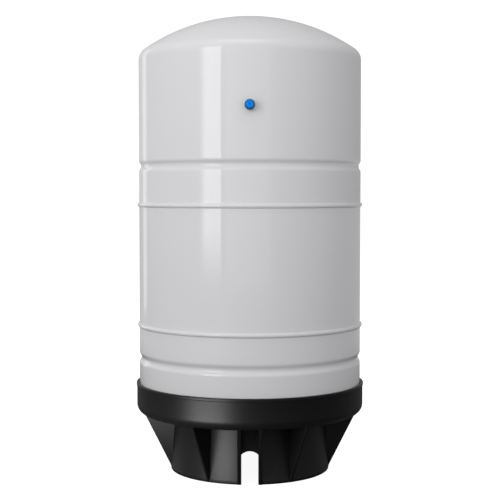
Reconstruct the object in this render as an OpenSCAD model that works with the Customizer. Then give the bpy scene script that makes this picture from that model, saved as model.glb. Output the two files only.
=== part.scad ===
// Upright diaphragm pressure vessel (expansion vessel) on a moulded stand.
// Origin: centre of the foot, on the floor. +Z is up. The air valve faces -Y.
// All lengths are in millimetres.

/* [Shell] */
// Outside diameter of the steel shell
shell_d = 390; // [360:1:440]
// Length of the shell from the bottom seat to the crown
shell_len = 725; // [660:1:900]
// Thickness of the shell sheet
shell_t = 1.8; // [1.2:0.1:2.4]
// Outside radius of the crown of both heads
crown_r = 325; // [280:1:420]
// Outside radius of the knuckle between crown and side
knuckle_r = 22; // [16:1:40]
// Radius of the flat pressed into the bottom head for the water inlet
bottom_flat_r = 34; // [32:1:40]

/* [Seams and grooves] */
// Crown of the vessel down to the upper weld seam
upper_seam_drop = 328; // [290:1:360]
// Bottom seat of the vessel up to the lower weld seam
lower_seam_rise = 187; // [175:1:225]
// Upper weld seam up to the stiffening groove
stiff_groove_rise = 67; // [40:1:110]
// Lower weld seam down to the clench groove
clench_groove_drop = 57; // [35:1:62]
// Depth of each rolled groove
groove_depth = 3.5; // [2.5:0.1:4.2]
// Half width of each rolled groove
groove_half_w = 10.5; // [9:0.5:13]
// Outside radius of the shoulders of each groove
groove_shoulder_r = 9; // [8.6:0.1:11]
// Length of sheet that laps inside the middle shell
lap_len = 12; // [8:1:20]
// Radial gap between the lapped sheets
lap_gap = 0.1; // [0.05:0.05:0.3]
// Height that each weld bead stands proud
bead_h = 3.2; // [2:0.1:3.8]
// Half width of each weld bead
bead_half_w = 4; // [3.8:0.1:6]
// Width of the lengthwise seam weld
seam_w = 6; // [4:0.5:10]
// Height that the lengthwise seam weld stands proud
seam_h = 0.8; // [0.4:0.1:1.5]
// Gap between the rolled edges that the lengthwise weld fills
seam_root_w = 2; // [1:0.5:3]

/* [Water chamber] */
// Thickness of the polypropylene liner
liner_t = 2.5; // [1.5:0.1:3.2]
// Clearance between liner and shell
liner_gap = 0.3; // [0.2:0.1:0.6]
// Thickness of the butyl diaphragm
diaphragm_t = 2.2; // [1.6:0.1:3]
// Clearance between diaphragm and liner
diaphragm_gap = 1; // [0.6:0.1:2]
// Clearance between diaphragm rim and shell
rim_gap = 0.3; // [0.2:0.1:0.6]
// Thickness of the clench ring
clench_t = 2.5; // [1.5:0.1:3]
// Clearance between clench ring and diaphragm
clench_gap = 0.2; // [0.1:0.1:0.4]
// Radius of the centre pad of the diaphragm
pad_r = 38; // [30:1:60]
// Thickness of the centre pad
pad_t = 2.5; // [1.5:0.5:4]

/* [Water inlet] */
// Outside diameter of the male inlet thread
inlet_d = 33.25; // [20.95:0.05:42]
// Bore of the inlet
inlet_bore = 25; // [14:0.5:26]
// Length of the inlet below the vessel
inlet_len = 34; // [26:1:38]
// Radius of the inlet flange inside the vessel
inlet_flange_r = 27; // [25:0.5:31]
// Thickness of the inlet flange
inlet_flange_t = 4; // [3:0.5:6]
// Radial clearance of the inlet in the shell and liner
inlet_gap = 0.4; // [0.2:0.1:0.8]
// Width of the relief groove between the inlet's two threads
relief_w = 1.5; // [1:0.5:3]
// Depth of the relief groove
relief_depth = 0.8; // [0.5:0.1:1.5]
// Thickness of the inlet gasket
inlet_seal_t = 2; // [1:0.5:3]
// Thickness of the outer washer
inlet_washer_t = 2; // [1:0.5:3]
// Height of the lock nut
lock_nut_h = 10; // [6:0.5:12]
// Width of the lock nut across its flats
lock_nut_af = 46; // [44:0.5:60]
// Radial clearance of the lock nut on the inlet thread
thread_gap = 0.1; // [0.05:0.05:0.2]

/* [Stand] */
// Height of the top of the cup ring
ring_top_z = 155; // [145:1:170]
// Height of the underside of the cup ring
ring_bottom_z = 101; // [97:1:106]
// Height that the cup's floor drops from the ring to the core
floor_drop = 9; // [6:1:12]
// Wall of the cup ring
ring_wall = 4.3; // [3:0.1:6]
// Clearance between cup ring and shell
ring_gap = 0.6; // [0.3:0.1:1.5]
// Outside radius of the rounded lower corner of the cup ring
ring_corner_r = 16; // [13:1:22]
// Height of the lip at the top of the ring
lip_h = 5.5; // [3:0.5:10]
// Height that the lip stands proud
lip_proud = 1; // [0.5:0.1:2]
// Thickness of the cup floor
floor_t = 4.5; // [3:0.1:6]
// Outside radius of the core wall under the cup
core_top_r = 133; // [115:1:135]
// Outside radius of the core wall above the foot
core_foot_r = 139.6; // [136:0.1:150]
// Wall of the core
core_wall = 4.5; // [3:0.1:6]
// Height that the foot rim stands proud of the core wall
foot_proud = 0.6; // [0.2:0.1:3]
// Height of the foot rim
foot_h = 5; // [3:0.5:10]
// Number of triangular ribs round the core
rib_count = 6; // [4:2:8]
// Thickness of each rib
rib_t = 4; // [2.5:0.5:6]
// Distance of the rib's outer corner inside the ring's outer face
rib_inset = 6; // [5:0.2:10]
// Width of the pipe slot
slot_w = 28.4; // [20:0.2:40]
// Height of the straight sides of the slot
slot_side_h = 50; // [30:1:60]
// Height of the slot's arch above its sides
slot_rise = 6; // [3:0.5:12]
// Thickness of the rib on each side of the slot
jamb_t = 6.2; // [3:0.2:10]
// Step between the slot's side and the rib beside it
jamb_step = 0.4; // [0.2:0.1:2]
// Number of seat ribs inside the cup
seat_rib_count = 12; // [6:1:24]
// Thickness of each seat rib
seat_rib_t = 3; // [2:0.5:5]
// Clearance between the vessel and its seat
seat_gap = 0.2; // [0.1:0.1:0.5]

/* [Air valve] */
// Height of the valve above the upper weld seam
valve_rise = 162; // [130:1:190]
// Radius of the welded boss
boss_r = 6.2; // [5.6:0.1:6.3]
// Height of the boss outside the shell
boss_h = 2.5; // [1.5:0.1:3]
// Radius of the boss shank in the shell
boss_shank_r = 5.2; // [4.8:0.1:5.4]
// Clearance round the boss in the shell
boss_gap = 0.1; // [0.05:0.05:0.2]
// Radius of the valve stem's nose thread
nose_r = 3.85; // [3.6:0.05:4]
// Length of the nose thread
nose_len = 8.8; // [6:0.1:12]
// Pitch of the nose thread
nose_pitch = 0.794; // [0.5:0.001:1]
// Radius of the stem's flange
stem_flange_r = 5.8; // [5.2:0.1:6]
// Thickness of the stem's flange
stem_flange_t = 1.5; // [1:0.1:2]
// Thickness of the stem's seal
stem_seal_t = 1.2; // [0.8:0.1:2]

/* [Valve cap] */
// Outside diameter of the cap
cap_d = 17; // [15.4:0.1:22]
// Clearance between the cap's mouth and the shell
cap_mouth_gap = 0.8; // [0.4:0.1:2]
// Radial clearance of the cap round the boss
cap_boss_gap = 0.5; // [0.3:0.1:1]
// Radial clearance of the cap on the nose thread
cap_thread_gap = 0.05; // [0.02:0.01:0.1]
// Thickness of the cap's end
cap_end_t = 2; // [1:0.1:3]
// Thickness of the rubber seal inside the cap
cap_seal_t = 1; // [0.5:0.1:2]
// Number of grip grooves round the cap
grip_count = 16; // [10:1:20]

/* [Valve core] */
// Radius of the core's barrel
barrel_r = 2.5; // [2.3:0.05:2.6]
// Radial clearance of the barrel in the stem
barrel_gap = 0.1; // [0.05:0.01:0.15]
// Radius of the core pin
core_pin_r = 0.6; // [0.4:0.05:0.7]
// Radial clearance of the core pin
core_pin_gap = 0.1; // [0.05:0.01:0.15]
// Travel of the core pin
core_pin_travel = 1.2; // [0.8:0.1:1.4]
// Radius of the spring's wire
spring_wire_r = 0.15; // [0.1:0.01:0.2]
// Number of turns of the spring
spring_turns = 6; // [4:1:8]

/* [Hidden] */

steps = 8;        // straight pieces in each arc of a turned outline
fine = 96;        // facets drawn on round parts
overlap = 0.5;    // how far a cutter runs past the face it opens
shell_r = shell_d / 2;

// Heads: a crown arc that meets a knuckle arc
head_angle = asin((shell_r - knuckle_r) / (crown_r - knuckle_r));
head_centre = (crown_r - knuckle_r) * cos(head_angle);

// The bottom head rests on the inner edge of the stand's cup floor
seat_r = core_top_r - core_wall / 2 + 0.25;
core_rim_z = ring_bottom_z - floor_drop;
seat_z = core_rim_z + floor_t - 0.7;
bottom_centre_z = seat_z + sqrt(crown_r * crown_r - seat_r * seat_r);
shell_base_z = bottom_centre_z - sqrt(crown_r * crown_r - bottom_flat_r * bottom_flat_r);
bottom_tangent_z = bottom_centre_z - head_centre;
crown_z = shell_base_z + shell_len;
top_centre_z = crown_z - crown_r;
top_tangent_z = top_centre_z + head_centre;

upper_seam_z = crown_z - upper_seam_drop;
lower_seam_z = shell_base_z + lower_seam_rise;
stiff_groove_z = upper_seam_z + stiff_groove_rise;
clench_groove_z = lower_seam_z - clench_groove_drop;
valve_z = upper_seam_z + valve_rise;

// Groove section: a hollow arc between two shoulder arcs
groove_r = (groove_half_w * groove_half_w + groove_depth * groove_depth) / (2 * groove_depth)
    - groove_shoulder_r;
groove_angle = asin(groove_half_w / (groove_r + groove_shoulder_r));

// Seam section: how far the joggle and the middle shell's edge lie from the seam
joggle_in = 3;
joggle_out = 1;

// Depths inwards from the shell's outer surface
rim_off = shell_t + rim_gap;
clench_off = rim_off + diaphragm_t + clench_gap;
liner_off = shell_t + liner_gap;
bag_off = liner_off + liner_t + diaphragm_gap;
rim_half_h = groove_half_w + 1;
rim_lip_h = 4;
rim_lip_w = 4.6;
liner_top_z = clench_groove_z - rim_half_h - 6;

// Water inlet stack, from the shell's flat bottom
flat_inner_z = shell_base_z + shell_t;
liner_floor_z = flat_inner_z + liner_gap + liner_t;
inlet_flange_z = liner_floor_z + inlet_seal_t;
inlet_top_z = inlet_flange_z + inlet_flange_t;
inlet_hole_r = inlet_d / 2 + inlet_gap;
pad_z = inlet_top_z + 0.8;
bag_floor_z = pad_z + pad_t;
inlet_end_z = shell_base_z - inlet_len;
lock_nut_z = shell_base_z - inlet_washer_t - lock_nut_h;
relief_top_z = lock_nut_z - 0.5;

// Air valve stack, measured outwards from the shell's face
boss_out = 0.05;
seal_out = boss_out + boss_h;
flange_out = seal_out + stem_seal_t;
nose_out = flange_out + stem_flange_t;
tip_out = nose_out + nose_len;
cap_bore_out = tip_out + 0.1 + cap_seal_t;
cap_out = cap_bore_out + cap_end_t;
stem_shank_r = 4;
stem_bore_r = barrel_r + barrel_gap;
stem_passage_r = 1.9;
stem_passage_top = 4.5;
stem_inner_end = -5;

// Valve core, measured outwards from the shell's face
barrel_foot_out = stem_passage_top + 0.1;
barrel_tip_out = tip_out - 1.2;
barrel_cap_t = 1.3;
barrel_floor_t = 0.6;
spring_chamber_r = 1.6;
collar_r = 1.4;
collar_t = 0.5;
collar_out = barrel_tip_out - barrel_cap_t - 0.7;
pin_tip_out = tip_out - 0.4;
washer_t = 1;
washer_r = 1.6;
pin_disc_t = 0.6;
spring_r = 1.2;
spring_sides = 6;
spring_facets = 10;

function arc(cr, cz, radius, from, to, first = 0) =
    [for (i = [first:steps]) let (a = from + (to - from) * i / steps)
        [cr + radius * cos(a), cz + radius * sin(a)]];
function backwards(path) = [for (i = [len(path) - 1:-1:0]) path[i]];

// Bottom head, off inwards from the outer surface and flat at flat_z, from the axis up to the side
function bottom_head(off, flat_z) =
    let (reach = crown_r - off, start = acos(min(1, (bottom_centre_z - flat_z) / reach)))
    concat([[0, flat_z]],
        arc(0, bottom_centre_z, reach, start - 90, head_angle - 90),
        arc(shell_r - knuckle_r, bottom_tangent_z, knuckle_r - off, head_angle - 90, 0, 1));

// Top head, off inwards from the outer surface, from the side up to the axis
function top_head(off) =
    concat(arc(shell_r - knuckle_r, top_tangent_z, knuckle_r - off, 0, 90 - head_angle),
        arc(0, top_centre_z, crown_r - off, 90 - head_angle, 90, 1));

// Rolled groove centred at height z, off inwards from the outer surface, from below to above
function groove(z, off) =
    concat(arc(shell_r - groove_shoulder_r, z - groove_half_w, groove_shoulder_r - off,
            0, groove_angle),
        arc(shell_r - groove_depth + groove_r, z, groove_r + off,
            180 + groove_angle, 180 - groove_angle, 1),
        arc(shell_r - groove_shoulder_r, z + groove_half_w, groove_shoulder_r - off,
            -groove_angle, 0, 1));

// Joggled end of a head at seam height z: away is 1 where the lap points up and -1 where down
function joggle(z, away, off) =
    let (lapped_r = shell_r - shell_t - lap_gap - off)
    [[shell_r - off, z - away * joggle_in], [lapped_r, z + away * joggle_out],
        [lapped_r, z + away * lap_len]];

module turned(path) {
    rotate_extrude($fn = fine) polygon(path);
}

// Places a part on the valve's axis, its own +Z pointing out of the shell
module on_valve_axis() {
    translate([0, -shell_r, valve_z]) rotate([90, 0, 0]) children();
}

module disc(radius, from, to) {
    translate([0, 0, from]) cylinder(r = radius, h = to - from, $fn = fine);
}

module tube(outer, inner, from, to) {
    difference() {
        disc(outer, from, to);
        disc(inner, from - overlap, to + overlap);
    }
}

module top_shell() {
    color("gainsboro") difference() {
        turned(concat(backwards(joggle(upper_seam_z, -1, 0)), groove(stiff_groove_z, 0), top_head(0),
            backwards(top_head(shell_t)), backwards(groove(stiff_groove_z, shell_t)),
            joggle(upper_seam_z, -1, shell_t)));
        on_valve_axis() disc(boss_shank_r + boss_gap, -4 * shell_t, 2 * shell_t);
    }
}

module middle_shell() {
    color("gainsboro") difference() {
        tube(shell_r, shell_r - shell_t, lower_seam_z + joggle_out, upper_seam_z - joggle_out);
        translate([-seam_root_w / 2, 0, lower_seam_z])
            cube([seam_root_w, shell_r + 1, upper_seam_z - lower_seam_z]);
    }
}

module bottom_shell() {
    color("gainsboro") difference() {
        turned(concat(bottom_head(0, shell_base_z), groove(clench_groove_z, 0),
            joggle(lower_seam_z, 1, 0), backwards(joggle(lower_seam_z, 1, shell_t)),
            backwards(groove(clench_groove_z, shell_t)),
            backwards(bottom_head(shell_t, flat_inner_z))));
        disc(inlet_hole_r, shell_base_z - overlap, flat_inner_z + overlap);
    }
}

// Bead round the shell at seam height z, with its root in the notch beside the joggle
module round_bead(z, away) {
    bead_r = (bead_half_w * bead_half_w + bead_h * bead_h) / (2 * bead_h);
    bead_angle = asin(bead_half_w / bead_r);
    root = [[shell_r, z + away * joggle_out], [shell_r - shell_t - lap_gap, z + away * joggle_out],
        [shell_r, z - away * joggle_in]];
    face = arc(shell_r + bead_h - bead_r, z, bead_r, -away * bead_angle, away * bead_angle);
    turned(concat(face, root));
}

module upper_weld_bead() {
    color("gainsboro") round_bead(upper_seam_z, -1);
}

module lower_weld_bead() {
    color("gainsboro") round_bead(lower_seam_z, 1);
}

module seam_weld_bead() {
    low = lower_seam_z + bead_half_w;
    high = upper_seam_z - bead_half_w;
    color("gainsboro") union() {
        intersection() {
            tube(shell_r + seam_h, shell_r, low, high);
            translate([-seam_w / 2, 0, low]) cube([seam_w, 2 * shell_r, high - low]);
        }
        intersection() {
            tube(shell_r + seam_h / 2, shell_r - shell_t, low, high);
            translate([-seam_root_w / 2, 0, low]) cube([seam_root_w, 2 * shell_r, high - low]);
        }
    }
}

module clench_ring() {
    low = [[shell_r - clench_off, clench_groove_z - rim_half_h]];
    high = [[shell_r - clench_off, clench_groove_z + rim_half_h]];
    inner = clench_off + clench_t;
    color("silver") turned(concat(low, groove(clench_groove_z, clench_off), high,
        [[shell_r - inner, clench_groove_z + rim_half_h]], backwards(groove(clench_groove_z, inner)),
        [[shell_r - inner, clench_groove_z - rim_half_h]]));
}

module diaphragm() {
    rim_low = clench_groove_z - rim_half_h;
    rim_high = clench_groove_z + rim_half_h + clench_gap;
    bag_in = bag_off + diaphragm_t;
    outer = concat(bottom_head(bag_off, bag_floor_z), [[shell_r - bag_off, rim_low - 5],
        [shell_r - rim_off, rim_low]], groove(clench_groove_z, rim_off),
        [[shell_r - rim_off, rim_high + rim_lip_h]]);
    lip = [[shell_r - rim_off - rim_lip_w, rim_high + rim_lip_h],
        [shell_r - rim_off - rim_lip_w, rim_high],
        [shell_r - rim_off - diaphragm_t, rim_high]];
    inner = concat(groove(clench_groove_z, rim_off + diaphragm_t),
        [[shell_r - rim_off - diaphragm_t, rim_low - 0.6], [shell_r - bag_in, rim_low - 5.6]]);
    color("dimgray") turned(concat(outer, lip, backwards([for (p = inner) if (p[1] > rim_low - 0.5) p]),
        [[shell_r - rim_off - diaphragm_t, rim_low - 0.6], [shell_r - bag_in, rim_low - 5.6]],
        backwards(bottom_head(bag_in, bag_floor_z + diaphragm_t))));
}

module diaphragm_pad() {
    color("dimgray") turned([[0, pad_z], [pad_r - 1, pad_z], [pad_r, pad_z + 1], [pad_r, bag_floor_z],
        [0, bag_floor_z]]);
}

module water_liner() {
    color("white") difference() {
        union() {
            turned(concat(bottom_head(liner_off, flat_inner_z + liner_gap),
                [[shell_r - liner_off, liner_top_z], [shell_r - liner_off - liner_t, liner_top_z]],
                backwards(bottom_head(liner_off + liner_t, liner_floor_z))));
            disc(bottom_flat_r - 2, flat_inner_z, liner_floor_z);
        }
        disc(inlet_hole_r, flat_inner_z - overlap, liner_floor_z + overlap);
    }
}

module water_inlet() {
    bore_r = inlet_bore / 2;
    chamfer = 1.2;
    color("silver") turned([[bore_r, inlet_end_z], [inlet_d / 2 - chamfer, inlet_end_z],
        [inlet_d / 2, inlet_end_z + chamfer], [inlet_d / 2, relief_top_z - relief_w],
        [inlet_d / 2 - relief_depth, relief_top_z - relief_w],
        [inlet_d / 2 - relief_depth, relief_top_z], [inlet_d / 2, relief_top_z],
        [inlet_d / 2, inlet_flange_z],
        [inlet_flange_r, inlet_flange_z], [inlet_flange_r, inlet_top_z - chamfer],
        [inlet_flange_r - chamfer, inlet_top_z], [bore_r, inlet_top_z]]);
}

module inlet_seal() {
    color("black") tube(inlet_flange_r - 1, inlet_hole_r, liner_floor_z, inlet_flange_z);
}

module inlet_washer() {
    color("white") tube(lock_nut_af / 2 + 4, inlet_hole_r, shell_base_z - inlet_washer_t, shell_base_z);
}

module inlet_lock_nut() {
    color("silver") difference() {
        translate([0, 0, lock_nut_z])
            cylinder(d = lock_nut_af / cos(30), h = lock_nut_h, $fn = 6);
        disc(inlet_d / 2 + thread_gap, lock_nut_z - overlap, lock_nut_z + lock_nut_h + overlap);
    }
}

// Cutter for the slot in the stand's core wall
module pipe_slot() {
    arch_r = (slot_w * slot_w / 4 + slot_rise * slot_rise) / (2 * slot_rise);
    arch_angle = asin(slot_w / 2 / arch_r);
    arch_z = slot_side_h + slot_rise - arch_r;
    near = core_top_r - core_wall - 20;
    far = core_foot_r + foot_proud + 5;
    translate([0, -near, 0]) rotate([90, 0, 0]) linear_extrude(far - near)
        polygon(concat([[-slot_w / 2, -overlap], [slot_w / 2, -overlap]],
            arc(0, arch_z, arch_r, 90 - arch_angle, 90 + arch_angle)));
}

module stand() {
    ring_in = shell_r + ring_gap;
    ring_out = ring_in + ring_wall;
    core_top_z = core_rim_z + floor_t;
    corner_z = ring_bottom_z + ring_corner_r;
    corner_r = ring_out - ring_corner_r;
    foot_r = core_foot_r + foot_proud;
    rib_r = ring_out - rib_inset;
    rib_top_z = corner_z
        - sqrt(pow(ring_corner_r - ring_wall / 2, 2) - pow(rib_r - corner_r, 2));
    toe_r = foot_r + 2;
    draft = (core_foot_r - core_top_r) / core_rim_z;
    wall_in_top = core_top_r - core_wall;
    wall_in_foot = core_foot_r - core_wall;
    // straight side of the triangular ribs: outline in the plane of the rib
    rib_outline = [[wall_in_foot + 1, 0], [foot_r, 0], [toe_r, foot_h], [rib_r, rib_top_z],
        [corner_r, ring_bottom_z + floor_t / 2], [wall_in_top + 1, core_rim_z + floor_t / 2]];

    color("#1c1c1e") difference() {
        union() {
            // cup ring with its rounded corner, lip and floor
            turned(concat([[wall_in_top, core_rim_z], [corner_r, ring_bottom_z]],
                arc(corner_r, corner_z, ring_corner_r, -90, 0, 1),
                [[ring_out, ring_top_z - lip_h], [ring_out + lip_proud, ring_top_z - lip_h + lip_proud],
                    [ring_out + lip_proud, ring_top_z - lip_proud], [ring_out, ring_top_z],
                    [ring_in, ring_top_z]],
                arc(corner_r, corner_z, ring_corner_r - ring_wall, 0, -90),
                [[wall_in_top, core_top_z]]));
            // core wall with its foot rim and the arched pipe slot
            difference() {
                turned([[wall_in_foot, 0], [foot_r - 1.5, 0], [foot_r, 1.5], [foot_r, foot_h],
                    [core_foot_r - draft * foot_h, foot_h + 1], [core_top_r, core_rim_z + 1],
                    [core_top_r, core_top_z], [wall_in_top, core_top_z]]);
                pipe_slot();
            }
            // outer ribs
            for (i = [0:rib_count - 1])
                rotate([0, 0, -90 + 180 / rib_count + i * 360 / rib_count])
                    rotate([90, 0, 0]) linear_extrude(rib_t, center = true) polygon(rib_outline);
            // ribs beside the pipe slot
            for (side = [-1, 1])
                translate([side * ((slot_w + jamb_t) / 2 + jamb_step), 0, 0])
                    rotate([0, 0, -90]) rotate([90, 0, 0])
                    linear_extrude(jamb_t, center = true) polygon(rib_outline);
            // seat ribs inside the cup
            intersection() {
                for (i = [0:seat_rib_count - 1])
                    rotate([0, 0, -90 + (i + 0.5) * 360 / seat_rib_count])
                        translate([wall_in_top + 1, -seat_rib_t / 2, core_top_z - 1])
                            cube([ring_in - wall_in_top, seat_rib_t, bottom_tangent_z - core_top_z]);
                turned(concat([[0, core_rim_z + 1], [wall_in_top, core_rim_z + 1],
                        [corner_r, ring_bottom_z + 1]],
                    arc(corner_r, corner_z, ring_corner_r - 1, -90, 0, 1),
                    [[ring_out - 1, ring_top_z], [0, ring_top_z]]));
            }
        }
        // room for the bottom head
        turned(concat(bottom_head(-seat_gap, shell_base_z), [[shell_r + seat_gap, ring_top_z + 5],
            [0, ring_top_z + 5]]));
    }
}

module valve_boss() {
    color("gainsboro") on_valve_axis() difference() {
        union() {
            disc(boss_r, boss_out, seal_out);
            disc(boss_shank_r, -3.5, seal_out - overlap);
        }
        disc(stem_shank_r + thread_gap, -5, seal_out + overlap);
    }
}

module valve_stem() {
    color("goldenrod") on_valve_axis() difference() {
        union() {
            disc(stem_shank_r, stem_inner_end, flange_out + overlap);
            disc(stem_flange_r, flange_out, nose_out);
            disc(nose_r, nose_out - overlap, tip_out);
        }
        disc(stem_bore_r, stem_passage_top, tip_out + overlap);
        disc(stem_passage_r, stem_inner_end - overlap, stem_passage_top + overlap);
    }
}

module valve_stem_seal() {
    color("black") on_valve_axis()
        tube(stem_flange_r - 0.3, stem_shank_r + thread_gap, seal_out, flange_out);
}

module valve_core() {
    color("goldenrod") on_valve_axis() difference() {
        disc(barrel_r, barrel_foot_out, barrel_tip_out);
        disc(core_pin_r + core_pin_gap, barrel_foot_out - overlap, barrel_tip_out + overlap);
        disc(spring_chamber_r, barrel_foot_out + barrel_floor_t, barrel_tip_out - barrel_cap_t);
    }
}

module core_pin() {
    color("goldenrod") on_valve_axis() union() {
        disc(core_pin_r, barrel_foot_out - washer_t - overlap, pin_tip_out);
        disc(collar_r, collar_out, collar_out + collar_t);
        disc(washer_r, barrel_foot_out - washer_t - pin_disc_t, barrel_foot_out - washer_t);
    }
}

module core_seat_washer() {
    color("black") on_valve_axis()
        tube(washer_r, core_pin_r, barrel_foot_out - washer_t, barrel_foot_out);
}

// Coil swept along a helix, with closed ends
module core_spring() {
    low = barrel_foot_out + barrel_floor_t + spring_wire_r;
    high = collar_out - spring_wire_r;
    rings = spring_turns * spring_facets;
    points = [for (i = [0:rings], k = [0:spring_sides - 1])
        let (turn = 360 * i / spring_facets, a = 360 * k / spring_sides,
            reach = spring_r + spring_wire_r * cos(a))
        [reach * cos(turn), reach * sin(turn),
            low + (high - low) * i / rings + spring_wire_r * sin(a)]];
    sides = [for (i = [0:rings - 1], k = [0:spring_sides - 1])
        let (n = (k + 1) % spring_sides, a = i * spring_sides, b = a + spring_sides)
        [a + k, b + k, b + n, a + n]];
    ends = [[for (k = [0:spring_sides - 1]) k],
        [for (k = [spring_sides - 1:-1:0]) rings * spring_sides + k]];
    color("silver") on_valve_axis() polyhedron(points, concat(sides, ends));
}

module valve_cap() {
    outer = cap_d / 2;
    mouth_r = boss_r + cap_boss_gap;
    mouth_end = nose_out + 0.6;
    // the end's rounded edge is as deep as the end is thick
    edge = cap_end_t;
    color("dodgerblue") on_valve_axis() difference() {
        turned(concat([[0, cap_mouth_gap], [outer - 0.3, cap_mouth_gap], [outer, cap_mouth_gap + 0.3]],
            arc(outer - edge, cap_out - edge, edge, 0, 90), [[0, cap_out]]));
        disc(mouth_r, cap_mouth_gap - overlap, mouth_end);
        disc(nose_r + cap_thread_gap, mouth_end - overlap, cap_bore_out);
        for (i = [0:grip_count - 1])
            rotate([0, 0, i * 360 / grip_count]) translate([outer + 0.35, 0, cap_mouth_gap + 2])
                cylinder(r = 0.7, h = cap_out, $fn = 24);
    }
}

module cap_seal() {
    color("black") on_valve_axis() disc(nose_r - 0.05, tip_out + 0.1, cap_bore_out);
}

top_shell();
middle_shell();
bottom_shell();
upper_weld_bead();
lower_weld_bead();
seam_weld_bead();
clench_ring();
diaphragm();
diaphragm_pad();
water_liner();
water_inlet();
inlet_seal();
inlet_washer();
inlet_lock_nut();
stand();
valve_boss();
valve_stem();
valve_stem_seal();
valve_core();
core_pin();
core_seat_washer();
core_spring();
valve_cap();
cap_seal();
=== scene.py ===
"""Upright diaphragm pressure vessel on a moulded stand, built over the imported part."""
import math

import bpy
from bpy.props import FloatProperty, FloatVectorProperty, IntProperty, PointerProperty
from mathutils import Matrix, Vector


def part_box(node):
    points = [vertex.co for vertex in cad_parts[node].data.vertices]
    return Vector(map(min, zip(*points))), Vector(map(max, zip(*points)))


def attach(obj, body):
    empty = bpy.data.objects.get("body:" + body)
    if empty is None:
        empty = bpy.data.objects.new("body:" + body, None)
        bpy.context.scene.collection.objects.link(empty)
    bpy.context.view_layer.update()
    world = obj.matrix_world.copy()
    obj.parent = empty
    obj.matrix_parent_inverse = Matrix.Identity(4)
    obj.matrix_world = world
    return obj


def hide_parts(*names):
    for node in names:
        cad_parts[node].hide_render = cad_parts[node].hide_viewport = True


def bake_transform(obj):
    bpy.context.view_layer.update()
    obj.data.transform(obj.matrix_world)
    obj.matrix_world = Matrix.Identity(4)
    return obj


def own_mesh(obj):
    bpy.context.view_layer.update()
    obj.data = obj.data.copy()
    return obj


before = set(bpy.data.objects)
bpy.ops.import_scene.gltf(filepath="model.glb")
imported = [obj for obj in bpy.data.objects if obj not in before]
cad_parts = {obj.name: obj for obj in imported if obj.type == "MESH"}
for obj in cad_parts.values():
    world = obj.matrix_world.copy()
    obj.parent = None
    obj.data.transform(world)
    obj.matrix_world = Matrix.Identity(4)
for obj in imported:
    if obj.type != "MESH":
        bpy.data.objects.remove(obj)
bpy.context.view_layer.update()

bl_info = {
    "name": "Pressure Vessel Looks",
    "version": (1, 0, 0),
    "blender": (4, 5, 0),
    "location": "3D View > Sidebar > Vessel",
    "description": "Builds the visible pieces and finishes of an upright pressure vessel",
    "category": "Object",
}

MM = 0.001
MERGE = 2e-6

# Edges that turn more than this stay sharp
SMOOTH = math.radians(32)
SHELL_SMOOTH = math.radians(20)

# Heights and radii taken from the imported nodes
SHELL_R = round(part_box("middle_shell")[1].x, 4)
BASE_Z = round(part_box("bottom_shell")[0].z, 6)
CROWN_Z = round(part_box("top_shell")[1].z, 6)
UPPER_SEAM_Z = sum(v.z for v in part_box("upper_weld_bead")) / 2
LOWER_SEAM_Z = sum(v.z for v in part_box("lower_weld_bead")) / 2
VALVE_Z = sum(v.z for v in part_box("valve_boss")) / 2

# Flat pressed round the water inlet, and the hole in it
FLAT_R = 0.034
INLET_HOLE_R = 0.017025

# Gap that a weld closes, and how far before its seam a head's edge steps inwards
WELD_GAP = 0.001
STEP_BACK = 0.003

# Raised ring on the cap's end, and how far from it painted shade turns the plastic to its deep
# colour, leaving the ring as a painted highlight
CAP_RING_R = 0.003
CAP_PAINTED_SHADE_FROM, CAP_PAINTED_SHADE_TO = 0.0006, 0.0054


# ---------------------------------------------------------------- sizes and colours

def length(name, text, value):
    return FloatProperty(name=name, description=text, default=value, unit="LENGTH",
                         subtype="DISTANCE", precision=5)


def tint(name, text, value):
    return FloatVectorProperty(name=name, description=text, default=value, size=3,
                               subtype="COLOR", min=0, max=1)


class VESSEL_PG_shell(bpy.types.PropertyGroup):
    """Sizes and colour of the steel shell."""
    wall: length("Sheet", "Thickness of the shell sheet", 0.0018)
    crown: length("Crown radius", "Outside radius of both heads", 0.325)
    knuckle: length("Knuckle radius", "Outside radius between head and side", 0.022)
    groove_depth: length("Groove depth", "Depth of each rolled groove", 0.0035)
    groove_half: length("Groove half width", "Half width of each rolled groove", 0.0105)
    shoulder: length("Groove shoulder", "Radius of each groove's shoulders", 0.009)
    groove_rise: length("Stiffening groove", "Upper seam up to its groove", 0.067)
    groove_drop: length("Clench groove", "Lower seam down to its groove", 0.057)
    bead_half: length("Bead half width", "Half width of the round weld beads", 0.004)
    bead_rise: length("Bead height", "Height of the round weld beads", 0.0032)
    ripple: length("Bead ripple", "Height of the ripple left by the weld", 0.00006)
    steps: IntProperty(name="Steps", description="Steps round the shell", default=192, min=48)
    colour: tint("Enamel", "Colour of the baked enamel", (0.80, 0.79, 0.80))


class VESSEL_PG_stand(bpy.types.PropertyGroup):
    """Sizes and colour of the moulded stand."""
    slot_half: length("Slot half width", "Half width of the pipe slot", 0.0142)
    slot_side: length("Slot side", "Height of the slot's straight sides", 0.050)
    slot_rise: length("Slot arch", "Rise of the slot's arch", 0.006)
    rib: length("Rib", "Thickness of the triangular ribs", 0.004)
    jamb: length("Jamb", "Thickness of the ribs beside the slot", 0.0062)
    soft_edge: length("Soft edge", "Rounding of the ribs' edges", 0.0007)
    ribs: IntProperty(name="Ribs", description="Triangular ribs round the core", default=6)
    seat_ribs: IntProperty(name="Seat ribs", description="Ribs inside the cup", default=12)
    colour: tint("Plastic", "Colour of the moulded stand", (0.004, 0.0039, 0.004))


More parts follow.
